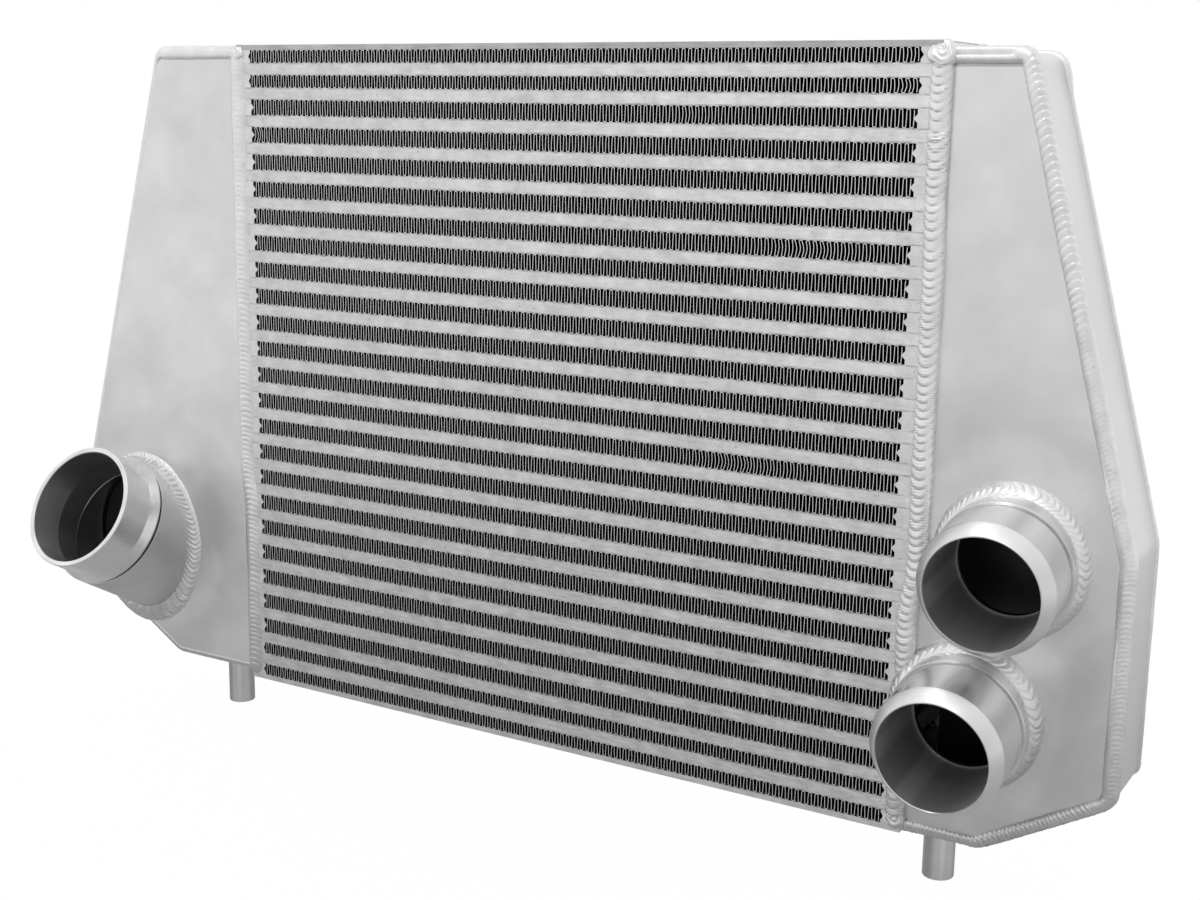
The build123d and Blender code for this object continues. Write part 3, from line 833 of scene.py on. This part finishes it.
# Turned piece about an axis, from a profile of radius, height and finish. A height of None is where the wall
# meets the plate or the core.
def lathe(name, origin, axis, profile, replaced, segments=180, closed=True):
    axis, origin = unit(axis), np.asarray(origin, float)
    across = unit(np.cross(axis, (0, 0, 1) if abs(axis[2]) < 0.9 else (1, 0, 0)))
    other = np.cross(axis, across)
    angle = np.linspace(0, 2 * math.pi, segments, endpoint=False)
    radial = np.cos(angle)[:, None] * across + np.sin(angle)[:, None] * other
    rings = []
    for radius, height, _ in profile:
        if height is None:
            level = (plateFront - origin[1] - radius * radial[:, 1]) / axis[1]
            spot = origin + radial * radius + level[:, None] * axis
            onCore = (spot[:, 0] > core["left"]) & (spot[:, 0] < core["right"])
            level[onCore] = ((core["front"] - origin[1] - radius * radial[:, 1]) / axis[1])[onCore]
        else:
            level = np.full(segments, float(height))
        rings.append(origin + radial * radius + level[:, None] * axis)
    keys = list(dict.fromkeys(key for _, _, key in profile))
    owners = []
    for _, _, key in (profile if closed else profile[:-1]):
        owners += [keys.index(key)] * segments
    makePiece(name, np.concatenate(rings), ringFaces(len(profile), segments, closed), keys, replaced, owners,
              sharp=24)


# Right-hand spigots for 63.5 mm hose: collar, groove, plain barrel and a tapered lead.
spigotTurning = {"bore": 26.4, "barrel": 31.75, "collar": 33.0, "collarLength": 14.5, "groove": 31.0,
                 "grooveWidth": 1.5, "taper": 7.3, "lengths": {"upper": 48.2, "lower": 51.7}}


def spigot(side):
    length = spigotTurning["lengths"][side]
    bore, barrel, collar, groove = (spigotTurning[key] for key in ("bore", "barrel", "collar", "groove"))
    taper, step = length - spigotTurning["taper"], spigotTurning["collarLength"]
    grooveEnd = step + spigotTurning["grooveWidth"]
    wall, inside, nose = "rightTurned", "rightBore", "rightNose"
    lathe(f"{side}Spigot", ports[side]["root"], rightAxis, [
        (bore, None, inside), (bore, length - 0.5, wall), (bore + 0.3, length, wall), (bore + 0.75, length, nose),
        (bore + 1.1, length - 0.25, nose), (barrel - 0.3, taper + 0.35, wall), (barrel, taper - 0.15, wall),
        (barrel, grooveEnd + 0.4, wall), (barrel - 0.25, grooveEnd, wall), (groove, grooveEnd - 0.1, wall),
        (groove, step + 0.1, wall), (barrel, step, wall), (collar - 0.3, step, wall), (collar, step - 0.3, wall),
        (collar, None, wall)], [f"{side}_spigot"])


for side in spigotTurning["lengths"]:
    spigot(side)

# Left port for 76 mm hose: a welded neck with a turned ferrule pushed into it, and a groove at their joint painted
# dark as shade.
leftPort = {"neck": 41.0, "neckBore": 38.0, "joint": 31.0, "end": 58.8, "bore": 35.0, "nose": 38.1, "skirt": 21.0,
            "tenon": 37.9, "tenonTop": 30.0, "grooveFloor": 38.9, "grooveTop": 31.3, "coneFoot": 33.5, "coneTop": 37.8,
            "litFrom": 37.5}
leftRoot = ports["left"]["root"]
(neck, neckBore, joint, end, bore, nose, skirt, tenon, tenonTop, grooveFloor, grooveTop, coneFoot, coneTop,
 litFrom) = leftPort.values()
lathe("leftNeck", leftRoot, leftAxis, [
    (neckBore, None, "leftDeepPaintedShade"), (neckBore, joint - 0.9, "groove"), (neck - 2.2, joint - 0.9, "groove"),
    (neck - 0.9, joint - 0.9, "neck"), (neck - 0.2, joint - 1.2, "neck"), (neck, joint - 1.7, "neck"),
    (neck, None, "neck")], ["left_port_neck"])
lathe("leftFerrule", leftRoot, leftAxis, [
    (bore - 0.25, skirt + 0.2, "leftRimPaintedHighlight"), (bore - 0.25, skirt + 0.5, "leftRimPaintedHighlight"), (bore, skirt + 0.9, "leftDeepPaintedShade"),
    (bore, litFrom, "leftBorePaintedLight"), (bore, end - 0.5, "leftTurned"), (bore + 0.35, end, "leftTurned"),
    (nose - 0.45, end, "leftTurned"), (nose, end - 0.45, "leftTurned"), (nose, coneTop + 0.5, "leftTurned"),
    (nose + 0.25, coneTop, "leftTurned"), (neck - 0.25, coneFoot, "leftTurned"), (neck, coneFoot - 0.4, "leftTurned"),
    (neck, joint + 1.2, "leftTurned"), (neck - 0.4, joint + 0.6, "leftTurned"), (neck - 1.0, grooveTop, "groove"),
    (grooveFloor, grooveTop, "groove"), (grooveFloor, tenonTop, "groove"), (tenon, tenonTop, "leftDeepPaintedShade"),
    (tenon, skirt, "leftDeepPaintedShade"), (bore + 0.3, skirt, "leftRimPaintedHighlight")], ["left_port_ferrule"])


# Fillet welds round the ports, from the collar down to the plate, drawn with the lean of the port.
# Climb is up the collar, reach is out over the plate, and stepUp is how far a weld comes forward onto the core.
def leftPortPitch(along):
    return 3.1 + 3.5 * ease(along, 150, 190) * (1 - ease(along, 235, 255))


def leftPortLumps(along):
    return 1 + 0.8 * ease(along, 160, 190) * (1 - ease(along, 235, 255))


def leftPortSize(along):  # thin over the top of the neck and under its outer side
    angle = along / along[-1] * 2 * math.pi
    return 1 - 0.5 * np.exp(-((angle - 3.95) / 0.7) ** 2) - 0.5 * np.exp(-((angle - 2.1) / 0.6) ** 2)


spigotFillet = {"radius": 33.0, "climb": 7.5, "reach": 5.2, "stepUp": 3.0}
portWeld = {
    "step": 0.4,
    "upper": {**spigotFillet, "look": {"pitch": 3.3, "height": 0.8, "crescent": 4.4, "seed": 3}},
    "lower": {**spigotFillet, "look": {"pitch": 3.8, "height": 0.85, "crescent": 4.4, "seed": 6}},
    "left": {"radius": 41.0, "climb": 3.2, "reach": 10.0, "stepUp": 0.0,
             "look": {"pitch": leftPortPitch, "height": 0.95, "crescent": 4.4, "seed": 8, "calm": leftPortLumps,
                      "swell": leftPortSize}}}


def portFillet(side, name, node):
    weld, origin, rise = portWeld[side], ports[side]["root"], math.radians(ports[side]["rise"])
    radius, stretch = weld["radius"], 1 / math.cos(rise)
    angle = np.linspace(0, 2 * math.pi, 2881)
    ring = np.stack([origin[0] + radius * np.cos(angle), np.full(len(angle), plateFront),
                     origin[2] + radius * stretch * np.sin(angle)], 1)
    line, along = evenly(ring, portWeld["step"])
    line, along = line[:-1], along[:-1]
    outward = unitRows(np.stack([(line[:, 0] - origin[0]) * stretch, np.zeros(len(line)),
                                 (line[:, 2] - origin[2]) / stretch], 1))
    line[:, 1] -= weld["stepUp"] * ease(core["right"] + 1.5 - line[:, 0], 0, 3.5)
    t = np.linspace(0, 1, 15)
    section = np.stack([weld["reach"] * (0.45 * t + 0.55 * np.sin(t * math.pi / 2)) - 0.4,
                        weld["climb"] * (0.45 * (1 - t) + 0.55 * np.cos(t * math.pi / 2)) - 0.3], 1)[::-1]
    shear = math.tan(rise) * outward[:, 2]
    tangent = unitRows(np.roll(line, -1, 0) - np.roll(line, 1, 0))
    if np.sum(np.cross(tangent, (0, -1, 0)) * outward) < 0:
        section, shear = section * (-1, 1), -shear
    weldRun(name, line, along, (0, -1, 0), section, [node], {**weld["look"], "shear": shear}, loop=True)


portFillet("upper", "upperSpigotWeld", "upper_spigot_weld")
portFillet("lower", "lowerSpigotWeld", "lower_spigot_weld")
portFillet("left", "leftPortWeld", "left_port_weld")

# Locating pins under the tanks: each stands at a place along X, with its top at the tank's floor.
locatingPin = {"radius": 8.0, "tip": -34.1, "chamfer": 0.5, "tops": {"left": (0.0, 0.0), "right": (467.9, -2.1)}}
for side, (x, top) in locatingPin["tops"].items():
    radius, tip, cut = locatingPin["radius"], locatingPin["tip"], locatingPin["chamfer"]
    lathe(f"{side}Pin", (x, 0, 0), (0, 0, 1), [
        (0.02, tip, "pin"), (radius - cut, tip, "pin"), (radius - cut * 0.3, tip + cut * 0.3, "pin"),
        (radius, tip + cut, "pin"), (radius, top, "pin")], [f"{side}_pin"], segments=72, closed=False)
print("ports and pins")


# Stage: a pale floor that turns into the plain white background, and what the metal sees of both, the floor's glow
# darker near the object as a painted shadow.
studio = {"floorColor": (0.9, 0.9, 0.9, 1), "floorLevel": -0.0345, "floorHalf": 8.0, "floorNear": 0.42,
          "floorFar": 0.92, "shadowKept": 0.015, "skyLow": 0.80, "skyHigh": 0.98, "dimmest": 0.78,
          "dimTowards": (0.75, -0.66, -0.1), "middle": (0.25, 0, 0.15),
          "lamps": {"keyBox": {"place": (0.9, -1.5, 2.0), "size": (0.45, 0.35), "power": 2.6},
                    "topBox": {"place": (-0.1, -0.6, 2.2), "size": (0.6, 0.4), "power": 2.6}}}


def shownRays(tree):
    path = addNode(tree, "ShaderNodeLightPath")
    return path.outputs["Is Camera Ray"], calc(tree, "MAXIMUM", path.outputs["Is Glossy Ray"],
                                               path.outputs["Is Transmission Ray"])


def mixShaders(tree, amount, none, full):
    mix = addNode(tree, "ShaderNodeMixShader")
    plug(tree, amount, mix.inputs[0])
    plug(tree, none.outputs[0], mix.inputs[1])
    plug(tree, full.outputs[0], mix.inputs[2])
    return mix


floorMaterial = bpy.data.materials.new("paleFloor")
floorMaterial.use_nodes = True
tree = floorMaterial.node_tree
tree.nodes.clear()
away = vectorCalc(tree, "DISTANCE", objectPlace(tree), (0.23, 0.0, studio["floorLevel"]), result="Value")
toCamera, toMetal = shownRays(tree)
pale = addNode(tree, "ShaderNodeBsdfDiffuse")
pale.inputs["Color"].default_value = studio["floorColor"]
white, mirroredGlowWithPaintedShadow = addNode(tree, "ShaderNodeEmission"), addNode(tree, "ShaderNodeEmission")
plug(tree, remap(tree, away, 0.3, 1.7, studio["floorNear"], studio["floorFar"]), mirroredGlowWithPaintedShadow.inputs["Strength"])
shown = mixShaders(tree, remap(tree, away, 0.12, 0.5, 1 - studio["shadowKept"], 1.0), pale, white)
surface = mixShaders(tree, toCamera, mixShaders(tree, toMetal, pale, mirroredGlowWithPaintedShadow), shown)
plug(tree, surface.outputs[0], addNode(tree, "ShaderNodeOutputMaterial").inputs["Surface"])

floorMesh = bpy.data.meshes.new("floor")
half, level = studio["floorHalf"], studio["floorLevel"]
floorMesh.from_pydata([(-half, -half, level), (half, -half, level), (half, half, level), (-half, half, level)], [],
                      [(0, 1, 2, 3)])
floorMesh.materials.append(floorMaterial)
floor = bpy.data.objects.new("floor", floorMesh)
scene.collection.objects.link(floor)

world = bpy.data.worlds.new("studio")
world.use_nodes = True
scene.world = world
tree = world.node_tree
tree.nodes.clear()
heading = addNode(tree, "ShaderNodeTexCoord").outputs["Generated"]
height = addNode(tree, "ShaderNodeSeparateXYZ")
plug(tree, heading, height.inputs[0])
facing = vectorCalc(tree, "DOT_PRODUCT", heading, studio["dimTowards"], result="Value")
tone = calc(tree, "MULTIPLY", remap(tree, height.outputs["Z"], -0.2, 0.5, studio["skyLow"], studio["skyHigh"]),
            remap(tree, facing, 0.3, 0.95, 1.0, studio["dimmest"]))
toCamera, toMetal = shownRays(tree)
sky = addNode(tree, "ShaderNodeBackground")
plug(tree, tone, sky.inputs["Strength"])
plain = addNode(tree, "ShaderNodeBackground")
plug(tree, calc(tree, "MAXIMUM", toCamera, tone), plain.inputs["Strength"])
for background in (sky, plain):
    background.inputs["Color"].default_value = (1, 1, 1, 1)
backdrop = mixShaders(tree, calc(tree, "MAXIMUM", toCamera, toMetal), sky, plain)
plug(tree, backdrop.outputs[0], addNode(tree, "ShaderNodeOutputWorld").inputs["Surface"])

for name, lamp in studio["lamps"].items():
    light = bpy.data.lights.new(name, "AREA")
    light.shape = "RECTANGLE"
    light.size, light.size_y = lamp["size"]
    light.energy = lamp["power"]
    holder = bpy.data.objects.new(name, light)
    holder.location = lamp["place"]
    aim = Vector(studio["middle"]) - Vector(lamp["place"])
    holder.rotation_euler = aim.to_track_quat("-Z", "Y").to_euler()
    scene.collection.objects.link(holder)

# The camera stands off the right-hand corner of the front, a little above the middle.
viewpoint = {"place": (0.71463, -0.76066, 0.34193), "forward": (-0.49815781, 0.84357621, -0.20054419),
             "up": (-0.1157608, 0.16451115, 0.97955884), "lens": 49.7724, "sensor": 36, "nearest": 0.01}
cameraData = bpy.data.cameras.new("camera")
cameraData.sensor_width, cameraData.lens = viewpoint["sensor"], viewpoint["lens"]
cameraData.clip_start = viewpoint["nearest"]
camera = bpy.data.objects.new("camera", cameraData)
scene.collection.objects.link(camera)
forward = Vector(viewpoint["forward"]).normalized()
right = forward.cross(Vector(viewpoint["up"])).normalized()
for k, column in enumerate((right, right.cross(forward), -forward)):
    for j in range(3):
        camera.matrix_world[j][k] = column[j]
camera.matrix_world.translation = viewpoint["place"]
camera.matrix_world = camera.matrix_world.copy()
scene.camera = camera
scene.view_settings.view_transform = "Standard"
print("stage, light and camera")
